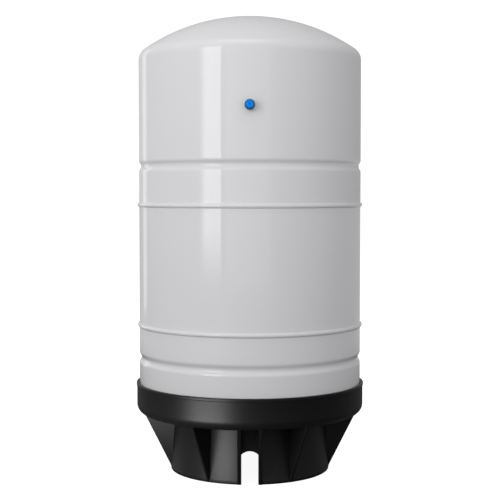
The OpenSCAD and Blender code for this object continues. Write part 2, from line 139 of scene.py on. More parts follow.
class VESSEL_PG_valve(bpy.types.PropertyGroup):
    """Sizes and colours of the air valve and its cap."""
    cap_r: length("Cap radius", "Outside radius of the cap", 0.0085)
    groove: length("Grip groove", "Radius of the grip grooves", 0.0007)
    grips: IntProperty(name="Grips", description="Grip grooves round the cap", default=16)
    pitch: length("Pitch", "Pitch of the nose thread", 0.000794)
    colour: tint("Cap", "Colour of the cap", (0.0, 0.3, 1.0))


class VESSEL_PG_water(bpy.types.PropertyGroup):
    """Sizes of the water side."""
    thread_r: length("Thread radius", "Outside radius of the inlet thread", 0.016625)
    pitch: length("Pitch", "Pitch of the inlet thread", 0.002309)
    across: length("Nut flats", "Width of the lock nut across its flats", 0.046)
    rubber: tint("Butyl", "Colour of the diaphragm", (0.02, 0.02, 0.021))


class VESSEL_PG_stage(bpy.types.PropertyGroup):
    """Strengths of the studio light."""
    key: FloatProperty(name="Soft box", description="Power of the main soft box", default=20.0)
    rim: FloatProperty(name="Rim strip", description="Power of the strip behind", default=2.7)
    fill: FloatProperty(name="Front fill", description="Power of the wide front fill", default=12.3)
    top: FloatProperty(name="Top box", description="Power of the box overhead", default=4.5)
    kick: FloatProperty(name="Low kicker", description="Power of the low light", default=1.35)
    ambient: FloatProperty(name="Room", description="Strength of the room light", default=0.65)
    floor: FloatProperty(name="Floor", description="Tone of the floor near the vessel", default=0.2)


# ---------------------------------------------------------------- modelling by hand

def deselect():
    if bpy.context.object and bpy.context.object.mode != "OBJECT":
        bpy.ops.object.mode_set(mode="OBJECT")
    bpy.ops.object.select_all(action="DESELECT")


def only(piece):
    deselect()
    piece.select_set(True)
    bpy.context.view_layer.objects.active = piece


def edit(piece):
    only(piece)
    bpy.ops.object.mode_set(mode="EDIT")
    bpy.ops.mesh.select_all(action="SELECT")


def named(name):
    piece = bpy.context.object
    piece.name = piece.data.name = name
    return piece


def arc(centre_r, centre_z, radius, start, end, steps=10, skip=0):
    """Points on an arc, its angles in degrees."""
    turn = [math.radians(start + (end - start) * i / steps) for i in range(skip, steps + 1)]
    return [(centre_r + radius * math.cos(a), centre_z + radius * math.sin(a)) for a in turn]


def outline(name, points, closed):
    """A chain of edges in the XZ plane, drawn point after point from one vertex."""
    deselect()
    bpy.ops.mesh.primitive_plane_add(size=MM, location=(0, 0, 0))
    piece = named(name)
    bpy.ops.object.mode_set(mode="EDIT")
    bpy.ops.mesh.select_all(action="SELECT")
    bpy.ops.mesh.merge(type="CENTER")
    path = [Vector((r, 0, z)) for r, z in points]
    bpy.ops.transform.translate(value=path[0])
    for here, there in zip(path, path[1:] + (path[:1] if closed else [])):
        bpy.ops.mesh.extrude_region_move(TRANSFORM_OT_translate={"value": there - here})
    bpy.ops.mesh.select_all(action="SELECT")
    bpy.ops.mesh.remove_doubles(threshold=MERGE)
    return piece


def tidy_mesh(piece, inward=False):
    bpy.ops.mesh.select_all(action="SELECT")
    bpy.ops.mesh.remove_doubles(threshold=MERGE)
    bpy.ops.mesh.select_all(action="SELECT")
    bpy.ops.mesh.normals_make_consistent(inside=inward)
    bpy.ops.object.mode_set(mode="OBJECT")


def soften(piece, angle=SMOOTH):
    only(piece)
    bpy.ops.object.shade_smooth_by_angle(angle=angle)
    return piece


def turned(name, points, closed=True, steps=96, sweep=2 * math.pi, smooth=SMOOTH):
    """A piece turned about the Z axis from its outline."""
    piece = outline(name, points, closed)
    bpy.ops.mesh.select_all(action="SELECT")
    bpy.ops.mesh.spin(steps=steps, angle=sweep, center=(0, 0, 0), axis=(0, 0, 1),
                      use_auto_merge=True)
    if sweep < 2 * math.pi:
        bpy.ops.mesh.select_all(action="SELECT")
        bpy.ops.mesh.fill_holes(sides=0)
    tidy_mesh(piece)
    return soften(piece, smooth)


def plate(name, points, thickness, edge=0.0):
    """A flat plate in the XZ plane, centred on Y, with its edges rounded."""
    piece = outline(name, points, True)
    bpy.ops.mesh.edge_face_add()
    bpy.ops.transform.translate(value=(0, -thickness / 2, 0))
    bpy.ops.mesh.extrude_region_move(TRANSFORM_OT_translate={"value": (0, thickness, 0)})
    if edge:
        bpy.ops.mesh.select_all(action="SELECT")
        bpy.ops.mesh.bevel(offset=edge, segments=2, affect="EDGES", clamp_overlap=True)
    tidy_mesh(piece)
    return piece


def placed(piece, location=(0, 0, 0), rotation=(0, 0, 0)):
    """Moves a piece into place and leaves the place in its mesh."""
    only(piece)
    piece.location = location
    piece.rotation_euler = rotation
    bpy.ops.object.transform_apply(location=True, rotation=True, scale=True)
    return piece


def on_valve(piece):
    return placed(piece, (0, -SHELL_R, VALVE_Z), (math.pi / 2, 0, 0))


def copied(piece, name):
    only(piece)
    bpy.ops.object.duplicate()
    return named(name)


def joined(name, parts):
    deselect()
    for part in parts:
        part.select_set(True)
    bpy.context.view_layer.objects.active = parts[0]
    bpy.ops.object.join()
    return named(name)


def finish_modifier(piece, modifier):
    only(piece)
    bpy.ops.object.modifier_apply(modifier=modifier.name)


def combine(piece, other, operation):
    """Unites the piece with another, cuts it, or keeps what they share."""
    modifier = piece.modifiers.new("Combine", "BOOLEAN")
    modifier.operation = operation
    modifier.solver = "EXACT"
    modifier.object = other
    finish_modifier(piece, modifier)
    bpy.data.objects.remove(other)
    return piece


def at_reach(vertex, reach):
    """Moves a vertex in or out to a distance from the Z axis."""
    share = reach / math.hypot(vertex.co.x, vertex.co.y)
    vertex.co.x *= share
    vertex.co.y *= share


def coil(name, section, pitch, turns, steps):
    """A closed section swept up a helix about Z, its ends filled."""
    piece = outline(name, section, True)
    bpy.ops.object.mode_set(mode="OBJECT")
    screw = piece.modifiers.new("Sweep", "SCREW")
    screw.axis = "Z"
    screw.screw_offset = pitch
    screw.iterations = turns
    screw.steps = screw.render_steps = steps
    screw.use_merge_vertices = True
    screw.merge_threshold = MERGE
    finish_modifier(piece, screw)
    edit(piece)
    bpy.ops.mesh.fill_holes(sides=0)
    tidy_mesh(piece)
    return piece


def thread(name, crest, root, low, turns, pitch, steps, sink):
    """The ridge of a thread, sunk into its rod and fading into it at both ends."""
    half = pitch / 2
    deep = root - sink
    section = [(deep, low - half * 0.86), (crest, low - half * 0.12),
               (crest, low + half * 0.12), (deep, low + half * 0.86)]
    ridge = coil(name, section, pitch, turns, steps)
    high = low + pitch * turns
    for v in ridge.data.vertices:
        reach = math.hypot(v.co.x, v.co.y)
        if reach < root:
            continue
        from_low, from_high = (v.co.z - low) / pitch, (high - v.co.z) / pitch
        share = min(1.0, max(0.05, min(from_low, from_high) * 3 + 0.2))
        at_reach(v, root - sink * 0.5 + (reach - root + sink * 0.5) * share)
    return ridge


# ---------------------------------------------------------------- finishes

def group(name, inputs, outputs):
    """A shader node group with named sockets, and its input and output nodes."""
    tree = bpy.data.node_groups.new(name, "ShaderNodeTree")
    for kind, label, default in inputs:
        socket = tree.interface.new_socket(label, in_out="INPUT", socket_type="NodeSocket" + kind)
        if default is not None:
            socket.default_value = default
    for kind, label in outputs:
        tree.interface.new_socket(label, in_out="OUTPUT", socket_type="NodeSocket" + kind)
    return tree, tree.nodes.new("NodeGroupInput"), tree.nodes.new("NodeGroupOutput")


def add(tree, kind, **values):
    """A node with its properties set, and its inputs set or linked by name or number."""
    node = tree.nodes.new("ShaderNode" + kind)
    inputs = values.pop("inputs", {})
    for key, value in values.items():
        setattr(node, key, value)
    for key, value in inputs.items():
        if isinstance(value, bpy.types.NodeSocket):
            tree.links.new(value, node.inputs[key])
        else:
            node.inputs[key].default_value = value
    return node


def math_node(tree, operation, first, second=0.0):
    return add(tree, "Math", operation=operation, inputs={0: first, 1: second}).outputs[0]


def make_tone_drift():
    """Slow change of tone over a surface, as paint and moulded plastic have."""
    tree, start, end = group("Tone Drift", [
        ("Vector", "Vector", None), ("Color", "Colour", (0.5, 0.5, 0.5, 1)),
        ("Float", "Scale", 8.0), ("Float", "Amount", 0.04)],
        [("Color", "Colour"), ("Float", "Mask")])
    noise = add(tree, "TexNoise", inputs={"Vector": start.outputs["Vector"],
                "Scale": start.outputs["Scale"], "Detail": 4.0, "Roughness": 0.55})
    centred = math_node(tree, "SUBTRACT", noise.outputs["Fac"], 0.5)
    factor = math_node(tree, "MULTIPLY_ADD", centred, start.outputs["Amount"])
    factor.node.inputs[2].default_value = 1.0
    scale = add(tree, "VectorMath", operation="SCALE",
                inputs={0: start.outputs["Colour"], "Scale": factor})
    tree.links.new(scale.outputs[0], end.inputs["Colour"])
    tree.links.new(noise.outputs["Fac"], end.inputs["Mask"])
    return tree


def make_peel():
    """The soft orange peel of a baked or moulded skin."""
    tree, start, end = group("Skin Peel", [
        ("Vector", "Vector", None), ("Float", "Scale", 120.0), ("Float", "Fine Share", 0.3)],
        [("Float", "Height")])
    broad = add(tree, "TexNoise", inputs={"Vector": start.outputs["Vector"],
                "Scale": start.outputs["Scale"], "Detail": 1.0})
    fine_scale = math_node(tree, "MULTIPLY", start.outputs["Scale"], 4.5)
    fine = add(tree, "TexNoise", inputs={"Vector": start.outputs["Vector"],
               "Scale": fine_scale, "Detail": 2.0})
    share = math_node(tree, "MULTIPLY", fine.outputs["Fac"], start.outputs["Fine Share"])
    total = math_node(tree, "ADD", broad.outputs["Fac"], share)
    tree.links.new(total, end.inputs["Height"])
    return tree


def make_rub():
    """Faint handling marks, long and thin, as a mask."""
    tree, start, end = group("Handling Rub", [
        ("Vector", "Vector", None), ("Float", "Scale", 30.0), ("Float", "Cover", 0.4)],
        [("Float", "Mask")])
    stretch = add(tree, "Mapping", inputs={"Vector": start.outputs["Vector"],
                  "Rotation": (0.3, 0.5, 0.2), "Scale": (1.0, 1.0, 9.0)})
    noise = add(tree, "TexNoise", inputs={"Vector": stretch.outputs[0],
                "Scale": start.outputs["Scale"], "Detail": 5.0, "Roughness": 0.7})
    shifted = math_node(tree, "ADD", noise.outputs["Fac"], start.outputs["Cover"])
    sharp = add(tree, "MapRange", inputs={"Value": shifted, "From Min": 0.9, "From Max": 1.15})
    tree.links.new(sharp.outputs[0], end.inputs["Mask"])
    return tree


def make_turning():
    """Fine lines left by turning, along one direction."""
    tree, start, end = group("Turning Lines", [
        ("Vector", "Vector", None), ("Float", "Lines per Metre", 3000.0)], [("Float", "Height")])
    wave = add(tree, "TexWave", wave_type="BANDS", bands_direction="Z",
               inputs={"Vector": start.outputs["Vector"], "Scale": start.outputs["Lines per Metre"],
                       "Distortion": 0.4, "Detail": 1.0})
    tree.links.new(wave.outputs["Fac"], end.inputs["Height"])
    return tree


def make_dust():
    """Fine dust that settles on faces that look up."""
    tree, start, end = group("Settled Dust", [
        ("Vector", "Vector", None), ("Vector", "Normal", None), ("Float", "Scale", 60.0),
        ("Float", "Amount", 0.2)], [("Float", "Mask")])
    up = add(tree, "SeparateXYZ", inputs={0: start.outputs["Normal"]})
    lift = add(tree, "MapRange", inputs={"Value": up.outputs["Z"], "From Min": 0.2,
               "From Max": 1.0})
    noise = add(tree, "TexNoise", inputs={"Vector": start.outputs["Vector"],
                "Scale": start.outputs["Scale"], "Detail": 6.0})
    mixed = math_node(tree, "MULTIPLY", lift.outputs[0], noise.outputs["Fac"])
    amount = math_node(tree, "MULTIPLY", mixed, start.outputs["Amount"])
    tree.links.new(amount, end.inputs["Mask"])
    return tree


EFFECTS = {}


def effect(tree, name, **inputs):
    """Places one of the shared effects in a material."""
    makers = {"Tone Drift": make_tone_drift, "Skin Peel": make_peel,
              "Handling Rub": make_rub, "Turning Lines": make_turning,
              "Settled Dust": make_dust}
    if name not in EFFECTS:
        EFFECTS[name] = makers[name]()
    node = tree.nodes.new("ShaderNodeGroup")
    node.node_tree = EFFECTS[name]
    for key, value in inputs.items():
        socket = node.inputs[key.replace("_", " ")]
        if isinstance(value, bpy.types.NodeSocket):
            tree.links.new(value, socket)
        else:
            socket.default_value = value
    return node


def finish(name, colour, rough=(0.4, 0.5), drift=0.05, drift_scale=9.0, peel=120.0,
           peel_depth=0.0001, peel_strength=0.2, fine=0.3, lines=None, rub_scale=30.0,
           dust=0.0, deep=None, **shader):
    """A finish: a shader whose colour, roughness and normal come from the shared effects.

    With a deep colour, painted shade darkens the tone away from the valve cap's raised ring, so the
    ring reads as a painted highlight.
    """
    material = bpy.data.materials.new(name)
    material.use_nodes = True
    tree = material.node_tree
    principled = tree.nodes["Principled BSDF"]
    for key, value in shader.items():
        principled.inputs[key.replace("_", " ")].default_value = value
    place = add(tree, "TexCoord").outputs["Object"]
    tone = effect(tree, "Tone Drift", Vector=place, Colour=(*colour, 1), Scale=drift_scale,
                  Amount=drift)
    shade = tone.outputs["Colour"]
    # painted shade and painted highlight: the colour darkens to the deep colour away from the cap's
    # raised ring, so the ring looks lit and the dimple and rim look shaded
    if deep:
        flat = add(tree, "VectorMath", operation="MULTIPLY", inputs={0: place, 1: (1, 0, 1)})
        away = add(tree, "VectorMath", operation="DISTANCE",
                   inputs={0: flat.outputs[0], 1: (0, 0, VALVE_Z)}).outputs["Value"]
        off_ring = math_node(tree, "ABSOLUTE", math_node(tree, "SUBTRACT", away, CAP_RING_R))
        # rim is the painted shade mask: 0 on the raised ring, 1 away from it
        rim = add(tree, "MapRange", inputs={"Value": off_ring, "From Min": CAP_PAINTED_SHADE_FROM,
                  "From Max": CAP_PAINTED_SHADE_TO}).outputs[0]
        mix = add(tree, "Mix", data_type="RGBA", inputs={0: rim, 6: shade, 7: (*deep, 1)})
        shade = mix.outputs[2]
    if dust:
        normal = add(tree, "NewGeometry").outputs["Normal"]
        veil = effect(tree, "Settled Dust", Vector=place, Normal=normal, Amount=dust)
        mix = add(tree, "Mix", data_type="RGBA", inputs={0: veil.outputs["Mask"], 6: shade,
                  7: (0.55, 0.54, 0.52, 1)})
        shade = mix.outputs[2]
    tree.links.new(shade, principled.inputs["Base Color"])
    rub = effect(tree, "Handling Rub", Vector=place, Scale=rub_scale)
    spread = add(tree, "MapRange", inputs={"Value": rub.outputs["Mask"], "To Min": rough[0],
                 "To Max": rough[1]})
    tree.links.new(spread.outputs[0], principled.inputs["Roughness"])
    if lines:
        height = effect(tree, "Turning Lines", Vector=place,
                        Lines_per_Metre=lines).outputs["Height"]
    else:
        height = effect(tree, "Skin Peel", Vector=place, Scale=peel,
                        Fine_Share=fine).outputs["Height"]
    bump = add(tree, "Bump", inputs={"Height": height, "Strength": peel_strength,
               "Distance": peel_depth})
    tree.links.new(bump.outputs[0], principled.inputs["Normal"])
    return material


FINISHES = {}


def make_finishes(settings):
    shell, stand, valve, water = settings
    make = FINISHES.__setitem__
    make("enamel", finish("baked_enamel", shell.colour, rough=(0.42, 0.44), drift=0.02,
         drift_scale=6, peel=60, peel_depth=0.00002, peel_strength=0.2, fine=0.08, IOR=1.3,
         Coat_Weight=1.0, Coat_Roughness=0.025, Coat_IOR=1.5))
    make("black_plastic", finish("moulded_black", stand.colour, rough=(0.42, 0.47), drift=0.25,
         drift_scale=14, peel=900, peel_depth=0.00006, peel_strength=0.2, fine=0.6,
         dust=0.003, IOR=1.29))
    make("cap_plastic", finish("cap_blue", valve.colour, rough=(0.24, 0.3), drift=0.1,
         drift_scale=300, peel=1500, peel_depth=0.00002, peel_strength=0.2,
         # deep: the painted shade colour that the cap darkens to away from its raised ring
         rub_scale=400, deep=(0.0, 0.035, 0.13), IOR=1.9,
         Specular_Tint=(0.1, 0.6, 1.0, 1)))
    make("brass", finish("turned_brass", (0.72, 0.47, 0.16), rough=(0.2, 0.34), drift=0.15,
         drift_scale=200, lines=3500, peel_depth=0.00002, peel_strength=0.3,
         rub_scale=300, Metallic=1.0))
    make("stainless", finish("brushed_stainless", (0.62, 0.61, 0.59), rough=(0.22, 0.36),
         drift=0.08, drift_scale=60, lines=1600, peel_depth=0.00003, peel_strength=0.3,
         rub_scale=120, Metallic=1.0))
    make("zinc", finish("zinc_plate", (0.66, 0.68, 0.7), rough=(0.28, 0.45), drift=0.2,
         drift_scale=90, peel=300, peel_depth=0.00003, peel_strength=0.3, Metallic=1.0))
    make("spring_steel", finish("drawn_wire", (0.56, 0.55, 0.53), rough=(0.18, 0.3), drift=0.1,
         drift_scale=900, lines=9000, peel_depth=0.00001, peel_strength=0.2,
         rub_scale=900, Metallic=1.0))
    make("liner_plastic", finish("liner_white", (0.78, 0.79, 0.77), rough=(0.35, 0.48),
         drift=0.04, drift_scale=12, peel=260, peel_depth=0.00008, peel_strength=0.25,
         Subsurface_Weight=0.1))
    make("butyl", finish("butyl_rubber", water.rubber, rough=(0.55, 0.7), drift=0.3,
         drift_scale=25, peel=1100, peel_depth=0.0001, peel_strength=0.35, fine=0.7,
         dust=0.05))
    make("seal_rubber", finish("seal_black", (0.016, 0.016, 0.017), rough=(0.5, 0.62),
         drift=0.25, drift_scale=150, peel=1800, peel_depth=0.00005, peel_strength=0.3))
    make("nylon", finish("natural_nylon", (0.7, 0.68, 0.6), rough=(0.32, 0.45), drift=0.05,
         drift_scale=60, peel=700, peel_depth=0.00005, peel_strength=0.25,
         Subsurface_Weight=0.15))


def dress(piece, slot_name, body="root", *nodes):
    """Gives a piece its finish and its body, and hides the nodes it stands for."""
    piece.data.materials.clear()
    piece.data.materials.append(FINISHES[slot_name])
    if nodes:
        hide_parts(*nodes)
    if body:
        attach(piece, body)
    return piece


# ---------------------------------------------------------------- outlines of the shell

def head_sizes(shell):
    """Radius of the knuckles' centres, where crown meets knuckle, and the rise between centres."""
    side = SHELL_R - shell.knuckle
    angle = math.degrees(math.asin(side / (shell.crown - shell.knuckle)))
    rise = (shell.crown - shell.knuckle) * math.cos(math.radians(angle))
    return side, angle, rise


def bottom_centre(shell):
    """Height of the bottom head's centre, from the flat cut across its crown."""
    return BASE_Z + math.sqrt(shell.crown ** 2 - FLAT_R ** 2)


def bottom_head(shell, off, flat_z):
    """Bottom head, off inwards, from the edge of its flat up to the side."""
    side, angle, rise = head_sizes(shell)
    centre = bottom_centre(shell)
    reach = shell.crown - off
    first = math.degrees(math.acos(min(1, (centre - flat_z) / reach)))
    return (arc(0, centre, reach, first - 90, angle - 90, 24)
            + arc(side, centre - rise, shell.knuckle - off, angle - 90, 0, 14, 1))


def top_head(shell, off):
    """Top head, off inwards, from the side up to the axis."""
    side, angle, rise = head_sizes(shell)
    centre = CROWN_Z - shell.crown
    return (arc(side, centre + rise, shell.knuckle - off, 0, 90 - angle, 16)
            + arc(0, centre, shell.crown - off, 90 - angle, 90, 30, 1))


def groove(shell, z, off):
    """Rolled groove at height z, off inwards, from below to above."""
    half, deep, shoulder = shell.groove_half, shell.groove_depth, shell.shoulder
    hollow = (half * half + deep * deep) / (2 * deep) - shoulder
    lean = math.degrees(math.asin(half / (hollow + shoulder)))
    return (arc(SHELL_R - shoulder, z - half, shoulder - off, 0, lean, 8)
            + arc(SHELL_R - deep + hollow, z, hollow + off, 180 + lean, 180 - lean, 14, 1)
            + arc(SHELL_R - shoulder, z + half, shoulder - off, -lean, 0, 8, 1))


def joggle(shell, z, away, off):
    """A head's edge, set inwards to lie under the middle shell from the seam at z."""
    clearance, lap = 0.0001, 0.012
    lapped = SHELL_R - shell.wall - clearance - off
    return [(SHELL_R - off, z - away * STEP_BACK), (lapped, z + away * WELD_GAP),
            (lapped, z + away * lap)]


def held(points, near=0.0006, shortest=0.01):
    """The same outline with a point close to each end of its long straight runs."""
    out = [points[0]]
    for a, b in zip(points, points[1:]):
        long = math.dist(a, b)
        if long > shortest:
            for share in (near / long, 1 - near / long):
                out.append((a[0] + (b[0] - a[0]) * share, a[1] + (b[1] - a[1]) * share))
        out.append(b)
    return out


def filled_in(points, longest):
    """The same outline with long straight runs split up."""
    out = [points[0]]
    for a, b in zip(points, points[1:]):
        n = max(1, math.ceil(math.dist(a, b) / longest))
        out += [(a[0] + (b[0] - a[0]) * i / n, a[1] + (b[1] - a[1]) * i / n)
                for i in range(1, n + 1)]
    return out


# ---------------------------------------------------------------- operators

class VESSEL_OT_stage(bpy.types.Operator):
    """Sets the camera, the pale floor and the soft studio light"""
    bl_idname = "vessel.stage"
    bl_label = "Stage"

    def execute(self, context):
        scene, sizes = context.scene, context.scene.vessel_stage
        scene.view_settings.view_transform = "Standard"
        deselect()
        # in front of the vessel at mid height, tipped slightly down
        away, height, tip = 2.12455, 0.492, 87.16
        bpy.ops.object.camera_add(location=(0.0003, -away, height),
                                  rotation=(math.radians(tip), 0, 0))
        camera = bpy.context.object
        camera.name = "Camera"
        camera.data.lens = 86.4
        camera.data.sensor_width = 36
        camera.data.clip_end = 200
        scene.camera = camera
        self.floor(sizes)
        key = self.soft_box("KeyBox", (39, 2.6, 1.04), (1.02, 1.8), sizes.key)
        self.feather(key)
        self.soft_box("RimStrip", (134.6, 3.0, 1.0), (0.6, 2.0), sizes.rim)
        self.soft_box("FrontFill", (1, 4.2, 0.85), (3.4, 2.4), sizes.fill)
        self.soft_box("TopBox", (15, 0.6, 2.8), (1.3, 0.9), sizes.top, 74)
        self.soft_box("LowKicker", (33, 0.45, 0.072), (0.24, 0.07), sizes.kick)
        self.room(scene, sizes)
        return {"FINISHED"}

    def soft_box(self, name, place, size, power, dip=0):
        """An area light at (azimuth to the left of the front, distance, height), dipped down."""
        turn, away, height = math.radians(place[0]), place[1], place[2]
        deselect()
        bpy.ops.object.light_add(type="AREA", location=(-away * math.sin(turn),
                                 -away * math.cos(turn), height),
                                 rotation=(math.radians(90 - dip), 0, -turn))
        lamp = bpy.context.object
        lamp.name = name
        lamp.data.shape = "RECTANGLE"
        lamp.data.size, lamp.data.size_y = size
        lamp.data.energy = power
        lamp.visible_camera = False
        return lamp

    def feather(self, lamp):
        """Fades a soft box towards one side and towards its foot."""
        lamp.data.use_nodes = True
        tree = lamp.data.node_tree
        place = add(tree, "NewGeometry").outputs["Parametric"]
        split = add(tree, "SeparateXYZ", inputs={0: place})
        side = add(tree, "MapRange", interpolation_type="SMOOTHSTEP", inputs={
                   "Value": split.outputs["X"], "From Min": 0.0, "From Max": 0.35,
                   "To Min": 0.1, "To Max": 1.0})
        foot = add(tree, "MapRange", inputs={"Value": split.outputs["Y"], "From Min": 0.0,
                   "From Max": 0.12, "To Min": 0.0, "To Max": 1.0})
        share = math_node(tree, "MULTIPLY", side.outputs[0], foot.outputs[0])
        tree.links.new(share, tree.nodes["Emission"].inputs["Strength"])

    def floor(self, sizes):
        """A floor that looks white and throws less light back near the vessel."""
        near, far, far_tone, glow_strength = 0.8, 2.0, 0.85, 0.93
        deselect()
        bpy.ops.mesh.primitive_circle_add(vertices=64, radius=40, fill_type="NGON")
        floor = named("StudioFloor")
        material = bpy.data.materials.new("pale_floor")
        material.use_nodes = True
        tree = material.node_tree
        tree.nodes.remove(tree.nodes["Principled BSDF"])
        place = add(tree, "TexCoord").outputs["Object"]
        reach = add(tree, "VectorMath", operation="LENGTH", inputs={0: place}).outputs["Value"]
        tone = add(tree, "MapRange", inputs={"Value": reach, "From Min": near, "From Max": far,
                   "To Min": sizes.floor, "To Max": far_tone}).outputs[0]
        away = add(tree, "BsdfDiffuse", inputs={"Color": tone})
        seen = add(tree, "BsdfDiffuse", inputs={"Color": (0.5, 0.5, 0.5, 1)})
        glow = add(tree, "Emission", inputs={"Color": (1, 1, 1, 1), "Strength": glow_strength})
        both = add(tree, "AddShader", inputs={0: seen.outputs[0], 1: glow.outputs[0]})
        path = add(tree, "LightPath")
        mix = add(tree, "MixShader", inputs={0: path.outputs["Is Camera Ray"],
                  1: away.outputs[0], 2: both.outputs[0]})
        tree.links.new(mix.outputs[0], tree.nodes["Material Output"].inputs["Surface"])
        floor.data.materials.append(material)

    def room(self, scene, sizes):
        """A pale room that is darker towards the right rear."""
        world = bpy.data.worlds.new("StudioRoom")
        world.use_nodes = True
        scene.world = world
        tree = world.node_tree
        for node in list(tree.nodes):
            tree.nodes.remove(node)
        place = add(tree, "TexCoord").outputs["Generated"]
        toward = add(tree, "VectorMath", operation="DOT_PRODUCT",
                     inputs={0: place, 1: (0.8, 0.6, 0)}).outputs["Value"]
        shade = add(tree, "MapRange", inputs={"Value": toward, "From Min": 0.3, "From Max": 1.0,
                    "To Min": sizes.ambient, "To Max": sizes.ambient * 0.5}).outputs[0]
        lit = add(tree, "Background", inputs={"Color": (0.99, 0.985, 1, 1), "Strength": shade})
        seen = add(tree, "Background", inputs={"Color": (1, 1, 1, 1), "Strength": 1.1})
        path = add(tree, "LightPath")
        mix = add(tree, "MixShader", inputs={0: path.outputs["Is Camera Ray"],
                  1: lit.outputs[0], 2: seen.outputs[0]})
        output = tree.nodes.new("ShaderNodeOutputWorld")
        tree.links.new(mix.outputs[0], output.inputs["Surface"])


class VESSEL_OT_shells(bpy.types.Operator):
    """Turns the top, middle and bottom shells"""
    bl_idname = "vessel.shells"
    bl_label = "Shells"

    def execute(self, context):
        shell = context.scene.vessel_shell
        wall, steps = shell.wall, shell.steps
        stiff_z = UPPER_SEAM_Z + shell.groove_rise
        clench_z = LOWER_SEAM_Z - shell.groove_drop
        top = turned("top_dome", held(joggle(shell, UPPER_SEAM_Z, -1, 0)[::-1]
                     + groove(shell, stiff_z, 0) + top_head(shell, 0)
                     + top_head(shell, wall)[::-1] + groove(shell, stiff_z, wall)[::-1]
                     + joggle(shell, UPPER_SEAM_Z, -1, wall)), steps=steps, smooth=SHELL_SMOOTH)
        dress(top, "enamel", "root", "top_shell")
        half_gap = math.asin(WELD_GAP / SHELL_R)
        low, high = LOWER_SEAM_Z + WELD_GAP, UPPER_SEAM_Z - WELD_GAP
        middle = turned("middle_band", [(SHELL_R, low), (SHELL_R, high), (SHELL_R - wall, high),
                        (SHELL_R - wall, low)], steps=steps, sweep=2 * math.pi - 2 * half_gap)
        placed(middle, rotation=(0, 0, math.pi / 2 + half_gap))
        dress(middle, "enamel", "root", "middle_shell")
        inside = BASE_Z + wall
        bottom = turned("bottom_bowl", held([(INLET_HOLE_R, BASE_Z)]
                        + bottom_head(shell, 0, BASE_Z)
                        + groove(shell, clench_z, 0) + joggle(shell, LOWER_SEAM_Z, 1, 0)
                        + joggle(shell, LOWER_SEAM_Z, 1, wall)[::-1]
                        + groove(shell, clench_z, wall)[::-1]
                        + bottom_head(shell, wall, inside)[::-1] + [(INLET_HOLE_R, inside)]),
                        steps=steps, smooth=SHELL_SMOOTH)
        dress(bottom, "enamel", "root", "bottom_shell")
        return {"FINISHED"}


class VESSEL_OT_welds(bpy.types.Operator):
    """Lays the two round weld beads and the lengthwise seam"""
    bl_idname = "vessel.welds"
    bl_label = "Welds"

    def execute(self, context):
        shell = context.scene.vessel_shell
        for name, z, away in (("upper", UPPER_SEAM_Z, -1), ("lower", LOWER_SEAM_Z, 1)):
            half, rise = shell.bead_half, shell.bead_rise
            bead_r = (half * half + rise * rise) / (2 * rise)
            lean = math.degrees(math.asin(half / bead_r))
            face = arc(SHELL_R + rise - bead_r, z, bead_r, -away * lean, away * lean, 12)
            foot = SHELL_R - 0.0019
            root = [(SHELL_R, z + away * WELD_GAP), (foot, z + away * WELD_GAP),
                    (SHELL_R, z - away * STEP_BACK)]
            bead = turned(name + "_bead", face + root, steps=384)
            # fine slanted ripples, on a height that swells and sinks slowly
            ripples, swells, sink = 96, 5, 0.0001
            for v in bead.data.vertices:
                reach = math.hypot(v.co.x, v.co.y)
                proud = max(0.0, (reach - SHELL_R) / rise)
                turn = math.atan2(v.co.y, v.co.x)
                wave = math.sin(turn * ripples + 7 * (v.co.z - z) / half) * shell.ripple * proud
                wave -= (0.5 + 0.5 * math.sin(turn * swells + z * 40)) * sink * proud
                at_reach(v, reach + wave - shell.ripple)
            dress(bead, "enamel", "root", name + "_weld_bead")
        self.lengthwise(shell)
        return {"FINISHED"}

    def lengthwise(self, shell):
        """The crowned bead up the back, with its root between the rolled edges."""
        low = LOWER_SEAM_Z + shell.bead_half
        high = UPPER_SEAM_Z - shell.bead_half
        half, rise, root, sag, cuts = 0.003, 0.0008, 0.00095, 0.0001, 60
        seat = math.sqrt(SHELL_R ** 2 - half ** 2)
        crown = [(half * math.cos(math.radians(a)),
                  seat + 0.00003 + (SHELL_R + rise - seat) * math.sin(math.radians(a)))
                 for a in range(0, 181, 15)]
        inner = [(-root, SHELL_R + 0.00001), (-root, SHELL_R - shell.wall),
                 (root, SHELL_R - shell.wall), (root, SHELL_R + 0.00001)]
        seam = outline("back_seam", crown + inner, True)
        bpy.ops.mesh.edge_face_add()
        tall = high - low
        bpy.ops.mesh.extrude_region_move(TRANSFORM_OT_translate={"value": (0, tall, 0)})
        bpy.ops.mesh.select_all(action="SELECT")
        bpy.ops.mesh.normals_make_consistent(inside=False)
        for cut in range(1, cuts):
            bpy.ops.mesh.select_all(action="SELECT")
            bpy.ops.mesh.bisect(plane_co=(0, tall * cut / cuts, 0), plane_no=(0, 1, 0))
        tidy_mesh(seam)
        for v in seam.data.vertices:
            x, along, out = v.co
            proud = max(0.0, (out - SHELL_R) / rise)
            out -= sag * proud * (1 + math.sin(along * 900 + x * 500))
            v.co = (x, out, low + along)
        edit(seam)
        tidy_mesh(seam)
        soften(seam)
        dress(seam, "enamel", "root", "seam_weld_bead")


